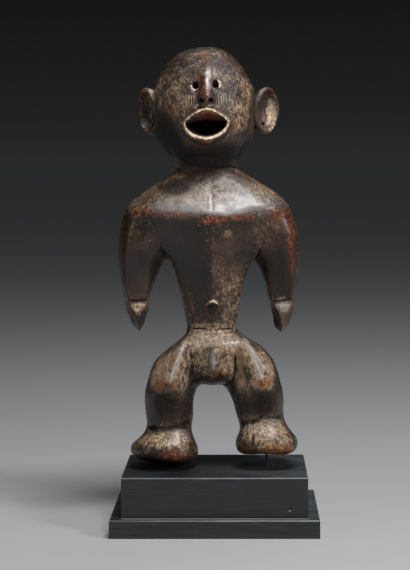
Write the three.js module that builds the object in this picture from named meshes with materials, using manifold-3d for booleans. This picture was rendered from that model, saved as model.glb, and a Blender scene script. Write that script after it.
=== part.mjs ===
// A carved wooden figure on its black display plinth, in millimetres, +Z up.
// The figure faces -Y, and left and right are the viewer's. The origin is the middle of the
// plinth's underside. The figure is carved from one piece of wood with its ears, arms, legs
// and feet. Its left foot stands on the plinth by the heel, and a steel pin holds the right.
import * as THREE from "three";
import { ConvexGeometry } from "three/addons/geometries/ConvexGeometry.js";
import { mergeVertices } from "three/addons/utils/BufferGeometryUtils.js";
import Module from "manifold-3d";

const wasm = await Module();
wasm.setup();

// Driving dimensions of the plinth and the pin
const SLAB = { width: 137, depth: 103, height: 12 };
const BLOCK = { width: 122, depth: 88, height: 26.2 };
const GAP = 0.3;
const EDGE_BEVEL = 0.5;
const BLOCK_TOP = SLAB.height + GAP + BLOCK.height;
const PIN = { x: 34.8, y: 7.5, radius: 1, inBlock: 10, top: 58 };
const NAIL_HOLE = { x: 49, z: 18.2, radius: 0.8, depth: 3 };

// How finely the carving is faceted
const RING_STEP = 6;
const CORNER_STEPS = 2;
const FINEST = 0.05;

const FIGURE_WOOD = new THREE.MeshStandardMaterial({ color: 0x4a3226, roughness: 0.5 });
const PLINTH_WOOD = new THREE.MeshStandardMaterial({ color: 0x1d1e20, roughness: 0.45 });
const PIN_STEEL = new THREE.MeshStandardMaterial({ color: 0x2b2b2b, roughness: 0.5, metalness: 0.9 });

const mix = THREE.MathUtils.lerp;
const radians = THREE.MathUtils.degToRad;

// Solids and meshes

function signedVolume(points, index) {
  const corner = (k) => new THREE.Vector3().fromArray(points, index[k] * 3);
  let volume = 0;
  for (let k = 0; k < index.length; k += 3) {
    volume += corner(k).dot(corner(k + 1).cross(corner(k + 2))) / 6;
  }
  return volume;
}

// A closed geometry as a solid, with its faces turned outwards.
function solid(geometry) {
  const bare = geometry.clone();
  bare.deleteAttribute("normal");
  bare.deleteAttribute("uv");
  const merged = mergeVertices(bare, 1e-4);
  const points = new Float32Array(merged.attributes.position.array);
  const index = new Uint32Array(merged.index.array);
  return new wasm.Manifold(
    new wasm.Mesh({
      numProp: 3,
      vertProperties: points,
      triVerts: signedVolume(points, index) < 0 ? index.reverse() : index,
    }),
  );
}

function geometryOf(made) {
  const { vertProperties, triVerts } = made.getMesh();
  return new THREE.BufferGeometry()
    .setAttribute("position", new THREE.BufferAttribute(new Float32Array(vertProperties), 3))
    .setIndex(new THREE.BufferAttribute(new Uint32Array(triVerts), 1));
}

function joined(solids) {
  return solids.reduce((all, one) => all.add(one));
}

function named(name, geometry, material) {
  const mesh = new THREE.Mesh(geometry, material);
  mesh.name = name;
  return mesh;
}

// A geometry turned by Euler angles in degrees and then moved.
function placed(geometry, [x, y, z], turns = [0, 0, 0]) {
  const turn = new THREE.Matrix4().makeRotationFromEuler(new THREE.Euler(...turns.map(radians)));
  return geometry.clone().applyMatrix4(turn).translate(x, y, z);
}

// The faceted solid that wraps round its corner points.
function wrapped(points) {
  return solid(new ConvexGeometry(points.map((point) => new THREE.Vector3(...point))));
}

// Lofts

// One column of the rows as a smooth curve, read at the height z.
function columnAt(rows, column, z) {
  const last = rows.length - 1;
  const above = rows.findIndex((row) => row[0] >= z);
  const i = above < 0 ? last - 1 : THREE.MathUtils.clamp(above - 1, 0, last - 1);
  const slope = (a, b) => (rows[b][column] - rows[a][column]) / (rows[b][0] - rows[a][0]);
  const tangent = (k) => slope(Math.max(k - 1, 0), Math.min(k + 1, last));
  const span = rows[i + 1][0] - rows[i][0];
  const t = (z - rows[i][0]) / span;
  const ease = t * t * (3 - 2 * t);
  const leave = (t * t * t - 2 * t * t + t) * span * tangent(i);
  const arrive = (t * t * t - t * t) * span * tangent(i + 1);
  return mix(rows[i][column], rows[i + 1][column], ease) + leave + arrive;
}

// A closed outline through the corners [x, y, sharp]. A sharp corner keeps its edge.
function outline(corners, steps = CORNER_STEPS) {
  const at = (k) => corners[(k + corners.length) % corners.length];
  const along = (from, to, share) => [0, 1].map((k) => (to[k] - from[k]) * share);
  return corners.flatMap((corner, i) => {
    const next = at(i + 1);
    const leave = corner[2] ? along(corner, next, 1) : along(at(i - 1), next, 0.5);
    const arrive = next[2] ? along(corner, next, 1) : along(corner, at(i + 2), 0.5);
    const straight = corner[2] && next[2];
    return Array.from({ length: straight ? 1 : steps }, (_, s) => {
      const t = s / steps;
      const ease = t * t * (3 - 2 * t);
      const out = t * t * t - 2 * t * t + t;
      const into = t * t * t - t * t;
      return [0, 1].map((k) => mix(corner[k], next[k], ease) + out * leave[k] + into * arrive[k]);
    });
  });
}

// Rings of [x, y, z] points, skinned one to the next and capped at both ends.
function skinned(rings) {
  const count = rings[0].length;
  const vertices = rings.flat();
  const index = [];
  const cap = (ring, first, flip) => {
    vertices.push([0, 1, 2].map((k) => ring.reduce((sum, point) => sum + point[k], 0) / count));
    for (let i = 0; i < count; i++) {
      const pair = [first + i, first + ((i + 1) % count)];
      index.push(vertices.length - 1, ...(flip ? pair.reverse() : pair));
    }
  };
  for (let r = 0; r + 1 < rings.length; r++) {
    for (let i = 0; i < count; i++) {
      const a = r * count + i;
      const b = r * count + ((i + 1) % count);
      index.push(a, b, b + count, a, b + count, a + count);
    }
  }
  cap(rings[0], 0, true);
  cap(rings.at(-1), (rings.length - 1) * count, false);
  return new THREE.BufferGeometry()
    .setAttribute("position", new THREE.Float32BufferAttribute(vertices.flat(), 3))
    .setIndex(index);
}

// Even heights from the rows' lowest to their highest.
function evenHeights(rows, step) {
  const low = rows[0][0];
  const high = rows.at(-1)[0];
  const count = Math.ceil((high - low) / step);
  return Array.from({ length: count + 1 }, (_, i) => mix(low, high, i / count));
}

// Rings at even heights, or at the heights given. section(column) gives the outline,
// where column(k) reads the rows' column k, and lift(x, y, share) raises its points.
function lofted(rows, section, { step = RING_STEP, heights = evenHeights(rows, step), lift = () => 0 } = {}) {
  const rings = heights.map((z, i) => {
    const share = i / (heights.length - 1);
    return section((k) => columnAt(rows, k, z)).map(([x, y]) => [x, y, z + lift(x, y, share)]);
  });
  return skinned(rings);
}

// A ring like a superellipse, with its own depth before and behind its middle.
function roundedRing({ left, right, front, back, middle = 0, power = 2, count = 28 }) {
  const bulge = (v) => Math.sign(v) * Math.abs(v) ** (2 / power);
  return Array.from({ length: count }, (_, i) => {
    const angle = (i / count) * 2 * Math.PI;
    const across = bulge(Math.sin(angle));
    const x = mix(left, right, (1 + bulge(Math.cos(angle))) / 2);
    return [x, middle + across * (across < 0 ? middle - front : back - middle)];
  });
}

// The head and neck: an egg, widest above the mouth, that runs down into a broad neck

// height, left, right, front, back
const HEAD = [
  [228, -24, 14, -14, 17],
  [240, -24.7, 15.4, -15.5, 18],
  [245, -28, 17.4, -20, 21],
  [251.7, -33.3, 22.1, -27, 25.5],
  [258.3, -36.6, 25.5, -32.5, 29],
  [265, -38.5, 26.8, -35, 31.3],
  [271.6, -39.8, 27.9, -36, 32.5],
  [278.2, -40.4, 28.6, -36, 33],
  [284.9, -40.4, 28.2, -35.3, 32.6],
  [291.5, -39.3, 27.3, -34, 31.5],
  [298.1, -37.6, 24.3, -31.8, 29.5],
  [304.7, -33.9, 19.7, -28, 25.5],
  [311.4, -28.8, 15, -21.5, 20],
  [316, -22.4, 10.6, -15, 14.5],
  [318.6, -15.4, 5, -9, 8.5],
  [319.6, -8, -2.5, -3, 2.5],
];

function head() {
  const section = (column) =>
    roundedRing({
      left: column(1),
      right: column(2),
      front: column(3),
      back: column(4),
      middle: -1,
      power: 2.1,
      count: 34,
    });
  return solid(lofted(HEAD, section, { heights: HEAD.map(([z]) => z) }));
}

// The mouth: an open bow between raised lips that bend round the face. Its roof slopes back and down.
const MOUTH = { x: -4.2, z: 268.8, tilt: 0.035, bend: 36 };
const LIP_SIDES = 28;
// Half width, rise, drop and depth, from the lips' root in the head to their brim
const LIP_STEPS = [
  [16.2, 11.4, 14.6, -24],
  [15.6, 10.6, 13.8, -35],
  [15.1, 9.7, 13, -38.2],
  [14.6, 9.1, 11.8, -39.2],
];
const CAVITY_STEPS = [
  [11, 1.6, 6.6, -14],
  [13, 2.2, 8.2, -32],
  [13.7, 6.8, 9, -38.6],
  [14.1, 8.2, 9.4, -46],
];

// The bow at one depth: an arch above a fuller curve.
function bowRing([halfWidth, rise, drop, y]) {
  return Array.from({ length: LIP_SIDES }, (_, i) => {
    const angle = (i / LIP_SIDES) * 2 * Math.PI;
    const upper = Math.sin(angle) > 0;
    const bulge = (v) => Math.sign(v) * Math.abs(v) ** (2 / (upper ? 1.42 : 1.75));
    const x = halfWidth * bulge(Math.cos(angle));
    const z = (upper ? rise : drop) * bulge(Math.sin(angle));
    return [MOUTH.x + x, y + (x * x) / (2 * MOUTH.bend), MOUTH.z + z + MOUTH.tilt * x];
  });
}

function lips() {
  return solid(skinned(LIP_STEPS.map(bowRing)));
}

function mouthCavity() {
  return solid(skinned(CAVITY_STEPS.map(bowRing)));
}

// The nose: a thin ridge that widens to two drilled nostrils

// height, half width, front
const NOSE = [
  [279.6, 3.6, -37.4],
  [281.4, 5.3, -40.6],
  [284.4, 5.2, -41.8],
  [288, 4.4, -40.4],
  [294, 4, -38],
  [300, 3.6, -34.6],
  [306, 3, -28.2],
  [311, 2, -21],
];
const NOSE_X = -4;
const NOSE_ROOT = -15;
const NOSTRIL = { spread: 3, z: 282.6, radius: 1.9, depth: 6 };

function nose() {
  const section = (column) => {
    const wing = column(1);
    const front = column(2);
    return outline([
      [NOSE_X, front, false],
      [NOSE_X + wing * 0.75, front + 1.6, false],
      [NOSE_X + wing, front + 4.5, true],
      [NOSE_X + wing, NOSE_ROOT, true],
      [NOSE_X - wing, NOSE_ROOT, true],
      [NOSE_X - wing, front + 4.5, true],
      [NOSE_X - wing * 0.75, front + 1.6, false],
    ], 2);
  };
  return solid(lofted(NOSE, section, { step: 3 }));
}

// A hole drilled towards +Y from a point, turned about X by the angle pitch.
function drilled(point, { radius, depth, pitch = 0, stretch = 1, lead = 6, sides = 12 }) {
  const bit = new THREE.CylinderGeometry(radius * 0.75, radius, depth + lead, sides);
  bit.translate(0, (depth - lead) / 2, 0).scale(1, 1, stretch);
  return solid(placed(bit, point, [pitch, 0, 0]));
}

const EYES = [
  { x: -11, z: 293.2, radius: 2.2, stretch: 1.2 },
  { x: 1.8, z: 293.9, radius: 2.4, stretch: 1.35 },
];
const EYE_DEPTH = 5;
const SOCKET = { radius: 4.5, depth: 1.3 };

function eyeCuts() {
  return EYES.flatMap(({ x, z, radius, stretch }) => {
    const bowl = new THREE.SphereGeometry(SOCKET.radius, 12, 8).scale(1, 0.7, 1.15);
    const face = columnAt(HEAD, 3, z) + 0.6;
    return [
      solid(placed(bowl, [x, face + SOCKET.depth - SOCKET.radius * 0.7, z])),
      drilled([x, face, z], { radius, stretch, depth: EYE_DEPTH }),
    ];
  });
}

function nostrilCuts() {
  return [-1, 1].map((side) =>
    drilled([NOSE_X + side * NOSTRIL.spread, -40.6, NOSTRIL.z], { ...NOSTRIL, pitch: 20 }),
  );
}

// The ears: cups on the sides of the head, turned outwards, each with a pierced lobe
const EAR = { halfHeight: 15.8, halfWidth: 10.4, cup: 9.5, sides: 20 };
const EAR_WALL = { brim: 2.4, shift: 0.7 };
const RIGHT_EAR = { at: [35.4, -3.5, 277.6], turns: [0, 2, 36] };
const LEFT_EAR = { at: [-43.8, -3, 277.4], turns: [0, -4, -44] };
const LOBE_HOLE = { down: 9, out: 1, radius: 1.4 };
// The left ear's brim is worn away outside this line, but for one small stub
const WORN_BRIM = { x: -49.4, stub: [285.2, 288.4] };
// Share of the half width at each share of the cup's depth, from its brim to its back
const CUP_OUTSIDE = [
  [0.95, -0.1],
  [1, 0.04],
  [0.93, 0.4],
  [0.68, 0.78],
  [0.3, 1],
];
const CUP_INSIDE = [
  [1.06, -0.3],
  [1, -0.05],
  [0.88, 0.28],
  [0.6, 0.55],
  [0.22, 0.7],
];

function cup(profile, halfWidth, halfHeight) {
  const rings = profile.map(([share, depth]) =>
    Array.from({ length: EAR.sides }, (_, i) => {
      const angle = (i / EAR.sides) * 2 * Math.PI;
      return [Math.cos(angle) * share * halfWidth, depth * EAR.cup, Math.sin(angle) * share * halfHeight];
    }),
  );
  return skinned(rings);
}

function ear({ at, turns }) {
  const side = Math.sign(at[0]);
  const outside = cup(CUP_OUTSIDE, EAR.halfWidth, EAR.halfHeight);
  const inside = cup(CUP_INSIDE, EAR.halfWidth - EAR_WALL.brim, EAR.halfHeight - EAR_WALL.brim);
  const hole = new THREE.CylinderGeometry(LOBE_HOLE.radius, LOBE_HOLE.radius, 30, 8);
  inside.translate(side * EAR_WALL.shift, 0, 0);
  hole.translate(side * LOBE_HOLE.out, 0, -LOBE_HOLE.down);
  return [inside, hole].reduce(
    (left, cut) => left.subtract(solid(placed(cut, at, turns))),
    solid(placed(outside, at, turns)),
  );
}

function leftEar() {
  const [low, high] = WORN_BRIM.stub;
  const cuts = [
    [240, low],
    [high, 320],
  ].map(([from, to]) =>
    solid(placed(new THREE.BoxGeometry(20, 60, to - from), [WORN_BRIM.x - 10, 0, (from + to) / 2])),
  );
  return cuts.reduce((left, cut) => left.subtract(cut), ear(LEFT_EAR));
}

// The shoulders: a broad faceted roof from the neck down to the ridge of the chest

const NECK_BASE = [
  [-25, -6, 238.6],
  [-18, -14, 237],
  [-6, -18, 236.4],
  [6, -18, 239.6],
  [16, -10, 239.4],
  [14, 14, 238],
  [-22, 14, 238],
  [-5, 20, 237],
];
const SHOULDER_LINE = [
  [-46, -2, 225.3],
  [-50, -15, 216.5],
  [-56.3, -4, 217.2],
  [-60, -5, 211.6],
  [-62.6, -5, 204],
  [24, -6, 232.4],
  [45.4, -6, 220.9],
  [50.2, -8, 214.8],
  [54.4, -6, 204],
];
const CHEST_RIDGE = [
  [-56, -21, 209.8],
  [-46, -27, 213],
  [-31, -31.5, 211.6],
  [-15, -34, 208.8],
  [-0.5, -35.5, 206.6],
  [16, -34, 209.4],
  [30, -31.5, 212.4],
  [41, -27, 215.4],
  [48.5, -20, 214],
];
const CHEST_BRIM = [
  [-54, -23, 207],
  [-31, -31, 207.6],
  [-15, -33.6, 204.8],
  [-0.5, -35.1, 202.6],
  [17, -33.6, 205],
  [37, -28, 207],
  [49, -20, 208],
];
const CHEST_UNDERSIDE = [
  [-56, -20, 204],
  [-30, -26, 204.4],
  [-0.5, -31, 200],
  [28, -26, 204],
  [50, -18, 205],
];
const SHOULDER_BACK = [
  [-50, 17, 212],
  [-30, 24, 219],
  [-5, 27, 222],
  [22, 24, 219],
  [42, 17, 212],
  [-57.5, 9, 207],
  [49.5, 9, 207],
  [-52, 17, 195],
  [44, 17, 195],
  [-5, 27, 195],
];

function shoulders() {
  return wrapped([
    ...NECK_BASE,
    ...SHOULDER_LINE,
    ...CHEST_RIDGE,
    ...CHEST_BRIM,
    ...CHEST_UNDERSIDE,
    ...SHOULDER_BACK,
  ]);
}

// The torso: a wedge with a keel down its front, a clean left edge and a notched right one

// height, left edge, right edge, edges' front, keel's front, back
const TORSO = [
  [124, -17.4, 14, -11, -16.5, 15],
  [132, -18.6, 14.6, -11, -18, 15],
  [141.5, -19.9, 16.5, -11.5, -20.5, 15.5],
  [155, -22.5, 18.7, -12.5, -23.5, 17],
  [168.4, -26.4, 22.4, -13.5, -26.5, 19],
  [175, -28.5, 25.2, -15.4, -28, 20.5],
  [181, -31.2, 28, -18.4, -29.2, 22],
  [189, -36, 32, -23.2, -30.4, 24],
  [204, -44, 39, -26, -31.8, 26],
];
const KEEL_X = -0.8;
const NOTCH = { from: 134, to: 178, pitch: 2.4, radius: 1.05, depth: 0.85 };

function torso() {
  const section = (column) => {
    const [left, right, edge, keel, back] = [1, 2, 3, 4, 5].map(column);
    return outline([
      [KEEL_X, keel, true],
      [right, edge, true],
      [right - 1.2, edge + 5, true],
      [right - 2.5, back * 0.45, false],
      [right * 0.55, back * 0.9, false],
      [(left + right) / 2, back, false],
      [left * 0.6, back * 0.9, false],
      [left + 2, back * 0.45, false],
      [left, edge + 6, true],
      [left + 1.6, edge, true],
    ], 2);
  };
  return solid(lofted(TORSO, section));
}

// Small V-shaped notches down the torso's right edge.
function edgeNotches() {
  const count = Math.round((NOTCH.to - NOTCH.from) / NOTCH.pitch);
  const bar = new THREE.CylinderGeometry(NOTCH.radius, NOTCH.radius, 7, 4);
  const out = NOTCH.radius - NOTCH.depth;
  return Array.from({ length: count }, (_, i) => {
    const z = NOTCH.from + i * NOTCH.pitch;
    const corner = [columnAt(TORSO, 2, z) + out, columnAt(TORSO, 3, z) - out * 0.6, z];
    return solid(placed(bar, corner, [0, 0, 35]));
  });
}

const NAVEL = { at: [0.6, -21, 148.4], radius: 4.4, length: 9, pitch: 14 };
const NAVEL_HOLE = { x: -3.2, z: 150.4, radius: 1, depth: 4 };

function navel() {
  const knob = new THREE.CylinderGeometry(NAVEL.radius, NAVEL.radius * 0.9, NAVEL.length, 20);
  return solid(placed(knob, NAVEL.at, [NAVEL.pitch, 0, 0]));
}

// The arms: long wedges with a worn outer ridge, cut off above pointed hands

// height, outer side, ridge, ridge's front, inner front edge, its front, inner side, back
const LEFT_ARM = [
  [147, -60, -56.3, -15, -44.8, -13, -43.4, 7],
  [155.5, -61.2, -57.3, -17.5, -44.4, -14, -42.2, 8.5],
  [162, -62.3, -58.2, -19.5, -43.9, -14.5, -40.2, 10],
  [168.2, -62.9, -58.5, -21, -43, -15, -37.4, 11.5],
  [175, -63.8, -58.5, -22.5, -41, -16.2, -33.9, 13.5],
  [181, -64.3, -58.4, -24, -38.6, -18.4, -30.9, 15],
  [189, -64.1, -57.4, -25.2, -35.6, -22.8, -26, 17],
  [197, -63.4, -56.3, -25, -34, -24.6, -24, 18.5],
  [205, -61.6, -54.2, -23.5, -34, -24.6, -26, 16],
  [211, -57.6, -52, -19, -36, -20, -30, 9],
];
const RIGHT_ARM = [
  [147, 53.8, 51, -15, 38, -13, 36.5, 7],
  [155.5, 54.7, 51.3, -17.5, 37.6, -14, 35.3, 8.5],
  [162, 55.4, 51.3, -19.5, 36.7, -14.5, 33.8, 10],
  [168.2, 56.2, 51.3, -21, 35.8, -15, 31.8, 11.5],
  [175, 56.9, 51.3, -22.5, 34.6, -16.2, 28.9, 13.5],
  [181, 57.1, 51.3, -24, 33, -18.4, 25.6, 15],
  [189, 57, 51, -25.2, 31, -22.8, 22.5, 17],
  [197, 56, 50.6, -25, 30, -24.6, 21, 18.5],
  [205, 53.6, 49.4, -23.5, 30, -24.6, 22, 16],
  [211, 50, 46.2, -19, 31, -20, 25, 9],
];

// The wrists' cuts, as the height at the middle of the wrist and the rise towards +X
const WRISTS = [
  { rows: LEFT_ARM, x: -50.5, height: 152.8, rise: -0.03 },
  { rows: RIGHT_ARM, x: 45.5, height: 152.6, rise: 0.17 },
];

function arm({ rows, x, height, rise }) {
  const section = (column) => {
    const [outer, ridge, ridgeFront, edge, edgeFront, inner, back] = [1, 2, 3, 4, 5, 6, 7].map(column);
    return outline([
      [ridge, ridgeFront, true],
      [edge, edgeFront, true],
      [inner, edgeFront * 0.3, false],
      [mix(inner, outer, 0.22), back * 0.85, false],
      [mix(inner, outer, 0.68), back, false],
      [mix(inner, outer, 0.95), back * 0.45, false],
      [outer, -4, false],
    ]);
  };
  const normal = [-rise, 0, 1];
  const length = Math.hypot(...normal);
  return solid(lofted(rows, section)).trimByPlane(
    normal.map((v) => v / length),
    (height - rise * x) / length,
  );
}

// Hands: a lit facet that leans forwards, and four more that meet at the fingertips
const LEFT_HAND = [
  [-58, -12.5, 153.6],
  [-44, -11, 153.2],
  [-50.2, -18.5, 139.6],
  [-49.8, -9, 132.4],
  [-60.4, -4, 154],
  [-59.2, -5, 145],
  [-56, -6, 138.4],
  [-42.8, -4, 153.4],
  [-44.2, -5, 145],
  [-46.6, -6, 138.8],
  [-57, 6.5, 154],
  [-46, 6.5, 153.6],
  [-51, 3, 136.5],
];
const RIGHT_HAND = [
  [38, -11, 152],
  [52.4, -12.5, 154.4],
  [44.8, -18.5, 137.6],
  [44.2, -9, 131.6],
  [53.8, -4, 155],
  [53, -5, 144.6],
  [50.4, -6, 138],
  [36.6, -4, 152.2],
  [38.2, -5, 143],
  [40.6, -6, 135.4],
  [51, 6.5, 155],
  [39, 6.5, 153],
  [45, 3, 135.5],
];

// The hips: a shelf round the waist above the pelvis

// height, half width, front, back
const HIPS = [
  [94.2, 6.5, -9, 9],
  [96, 11, -14, 15],
  [99, 15, -20, 21],
  [105, 16.6, -24.6, 25],
  [113, 16.8, -27, 27.5],
  [118, 18, -28.2, 26.8],
  [121.6, 22.6, -28.8, 25.6],
  [124.6, 22, -27.4, 23.6],
  [128.4, 18.2, -22.6, 20],
  [132.6, 16, -17.2, 16],
];
const HIPS_X = -1.2;

function hips() {
  const section = (column) =>
    roundedRing({
      left: HIPS_X - column(1),
      right: HIPS_X + column(1),
      front: column(2),
      back: column(3),
      power: 3.6,
      count: 24,
    });
  return solid(lofted(HIPS, section, { step: 4.8 }));
}

const GENITALS = [
  { at: [0.9, -27.6, 114.2], size: [4.3, 5.8, 11.2] },
  { at: [7.3, -23.8, 104.4], size: [2.9, 3.8, 3.6] },
];

function genitals() {
  return GENITALS.map(({ at, size }) => solid(placed(new THREE.SphereGeometry(1, 12, 8).scale(...size), at)));
}

// The legs: thighs that run forwards to the knees, above shins that lean back to the ankles

// height, outer side, inner side, back, then x and front of the ridge and of the inner edge
const LEFT_THIGH = [
  [93.6, -43.8, -11, 17.5, -30.8, -29.6, -17.4, -20.6],
  [96, -45.2, -8, 21.8, -30.4, -31.2, -17.4, -21.6],
  [101, -44.6, -6, 25.2, -29.2, -31.4, -17.4, -23.4],
  [106.7, -42.5, -6, 27, -27.8, -31, -17.4, -25],
  [114, -37.1, -5, 28, -25.2, -30.2, -17.6, -26.8],
  [119.5, -30.3, -4, 27, -22.8, -29.2, -17.4, -27.4],
  [124.2, -23.6, -4, 23.5, -20.4, -26.8, -16, -25.6],
  [130, -17.6, -4, 17, -16.6, -19, -12, -18],
];
const RIGHT_THIGH = [
  [93.6, 42.4, 7, 17.5, 32, -29.6, 17.8, -20.6],
  [96, 43.8, 4, 21.8, 32, -31.2, 17.8, -21.6],
  [101, 43.2, 3, 25.2, 31.2, -31.4, 17.8, -23.4],
  [106.4, 41.2, 3, 27, 29.8, -31, 17.8, -25],
  [114, 37.1, 3, 28, 26.6, -30.2, 17.8, -26.8],
  [119.4, 31.6, 3, 27, 23.8, -29.2, 17.4, -27.4],
  [124.2, 23.8, 3, 23.5, 20.6, -26.8, 16.2, -25.6],
  [130, 14.6, 3, 17, 13.4, -19, 10, -18],
];
// height, outer side, inner side, back, then x of the two front edges and their front
const LEFT_SHIN = [
  [56, -45, -17, 19, -37.4, -26, -16.6],
  [62, -45.5, -16, 19, -37.6, -24.6, -15.8],
  [68, -46.6, -14.9, 18.6, -38, -23.8, -15.8],
  [74, -47.3, -14.3, 18.4, -38.4, -23.4, -17.4],
  [80, -47.7, -14.4, 18.6, -38.8, -23.4, -20],
  [86, -47.6, -14.1, 19.6, -38.8, -23.4, -23.2],
  [91, -47.2, -11.4, 21, -38.4, -23.4, -26.2],
  [97, -45.2, -8.6, 22, -36, -23.4, -27],
];
const RIGHT_SHIN = [
  [60, 46, 17.6, 19, 37.4, 21, -16.8],
  [66, 46.2, 16.4, 19, 37.6, 20, -16],
  [71, 46.4, 14.9, 18.6, 37.8, 19, -16.2],
  [76, 46.4, 13.4, 18.4, 38, 18.4, -17.8],
  [81, 46.5, 11.9, 18.6, 38.2, 18, -20],
  [86, 46.2, 10.6, 19.6, 38.2, 18, -23],
  [91, 45.7, 6.8, 21, 38, 18.2, -26],
  [97, 43.7, 4.4, 22, 36, 18.8, -27],
];

// The leg's outline: a front through its edges, rounded sides and a rounded back.
function legRing(outer, inner, back, frontEdges) {
  const front = frontEdges[0][1];
  return outline([
    ...frontEdges.map(([x, y]) => [x, y, true]),
    [inner, -1, false],
    [mix(inner, outer, 0.2), back * 0.86, false],
    [mix(inner, outer, 0.55), back, false],
    [mix(inner, outer, 0.88), back * 0.78, false],
    [outer, -1, false],
    [mix(outer, frontEdges[0][0], 0.34), front * 0.6, false],
  ]);
}

function thigh(rows) {
  const section = (column) => {
    const [outer, inner, back, ridge, ridgeFront, edge, edgeFront] = [1, 2, 3, 4, 5, 6, 7].map(column);
    return legRing(outer, inner, back, [[ridge, ridgeFront], [edge, edgeFront]]);
  };
  return solid(lofted(rows, section, { step: 5 }));
}

function shin(rows) {
  const section = (column) => {
    const [outer, inner, back, first, second, front] = [1, 2, 3, 4, 5, 6].map(column);
    return legRing(outer, inner, back, [[first, front], [second, front]]);
  };
  return solid(lofted(rows, section));
}

// The feet: broad blocks that flare out below the ankles

// height at the heel, left, right, front, back
const LEFT_FOOT = [
  [38.8, -50, -18, -19, 18],
  [40.4, -54.6, -13.6, -23.6, 22.6],
  [43.6, -57.2, -11.5, -26, 24.8],
  [48, -57.3, -11.2, -26.4, 25],
  [52, -55.6, -12.2, -25.4, 24.4],
  [56.5, -51.4, -13.8, -22.8, 22.6],
  [61, -48, -15.4, -19.6, 20.6],
  [66, -46, -16.4, -16.4, 18.6],
];
const RIGHT_FOOT = [
  [48, 18, 49, -20, 18],
  [49.2, 15.4, 52.6, -23.6, 22],
  [52, 13.4, 55.4, -25.8, 24.4],
  [55.6, 13.6, 55.9, -26, 24.6],
  [59.5, 14.8, 53.6, -24.6, 23.4],
  [64, 16.6, 50.2, -21.8, 21.6],
  [68.5, 18.4, 47.6, -18.8, 20],
  [72.6, 20.4, 45.6, -15.4, 18],
];
const HEEL_TAPER = 0.2;

// The left toes stand clear of the plinth and slope up to the outer side.
function leftSoleLift(x, y) {
  const forwards = THREE.MathUtils.smoothstep(-y, -18, 24);
  return forwards * (5 + 0.16 * Math.abs(x + 22));
}

// The right sole is hollow across its middle.
function rightSoleLift(x, y) {
  return THREE.MathUtils.smoothstep(-y, 0, 20) * 2.2 * Math.cos((x - 34) / 13);
}

function foot(rows, soleLift) {
  const section = (column) => {
    const [left, right, front, back] = [1, 2, 3, 4].map(column);
    const ring = roundedRing({ left, right, front, back, power: 2.9, count: 24 });
    const middle = (left + right) / 2;
    return ring.map(([x, y]) => {
      const taper = 1 - HEEL_TAPER * THREE.MathUtils.smoothstep(y, -4, back);
      return [middle + (x - middle) * taper, y];
    });
  };
  const lift = (x, y, share) => soleLift(x, y) * (1 - share);
  return solid(lofted(rows, section, { step: 3.4, lift }));
}

// The pin and its holes
function pinHole(bottom, top) {
  const hole = new THREE.CylinderGeometry(PIN.radius + GAP, PIN.radius + GAP, top - bottom, 20);
  return solid(placed(hole, [PIN.x, PIN.y, (top + bottom) / 2], [90, 0, 0]));
}

function supportPin() {
  const bottom = BLOCK_TOP - PIN.inBlock;
  const rod = new THREE.CylinderGeometry(PIN.radius, PIN.radius, PIN.top - bottom, 20);
  return placed(rod, [PIN.x, PIN.y, (PIN.top + bottom) / 2], [90, 0, 0]);
}

function figure() {
  const carved = joined([
    head(),
    lips(),
    nose(),
    ear(RIGHT_EAR),
    leftEar(),
    shoulders(),
    torso().subtract(joined(edgeNotches())),
    navel(),
    ...WRISTS.map(arm),
    wrapped(LEFT_HAND),
    wrapped(RIGHT_HAND),
    hips(),
    ...genitals(),
    thigh(LEFT_THIGH),
    thigh(RIGHT_THIGH),
    shin(LEFT_SHIN),
    shin(RIGHT_SHIN),
    foot(LEFT_FOOT, leftSoleLift),
    foot(RIGHT_FOOT, rightSoleLift),
  ]);
  const cuts = [
    mouthCavity(),
    ...eyeCuts(),
    ...nostrilCuts(),
    drilled([NAVEL_HOLE.x, -24, NAVEL_HOLE.z], NAVEL_HOLE),
    pinHole(BLOCK_TOP, PIN.top + GAP),
  ];
  return carved.subtract(joined(cuts)).simplify(FINEST);
}

// The plinth: two bevelled boards with a hair of a gap between them
function board({ width, depth, height }, bottom) {
  const ring = (inset, z) => {
    const x = width / 2 - inset;
    const y = depth / 2 - inset;
    return [
      [-x, -y, z],
      [x, -y, z],
      [x, y, z],
      [-x, y, z],
    ];
  };
  return solid(skinned([ring(0, bottom), ring(0, bottom + height - EDGE_BEVEL), ring(EDGE_BEVEL, bottom + height)]));
}

function plinthBlock() {
  return board(BLOCK, SLAB.height + GAP)
    .subtract(pinHole(BLOCK_TOP - PIN.inBlock - GAP, BLOCK_TOP + 5))
    .subtract(drilled([NAIL_HOLE.x, -BLOCK.depth / 2, NAIL_HOLE.z], NAIL_HOLE));
}

const object = new THREE.Group();
object.name = "wooden_figure";
object.add(
  named("figure", geometryOf(figure()), FIGURE_WOOD),
  named("support_pin", supportPin(), PIN_STEEL),
  named("plinth_block", geometryOf(plinthBlock()), PLINTH_WOOD),
  named("plinth_slab", geometryOf(board(SLAB, 0)), PLINTH_WOOD),
);

export default object;
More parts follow.
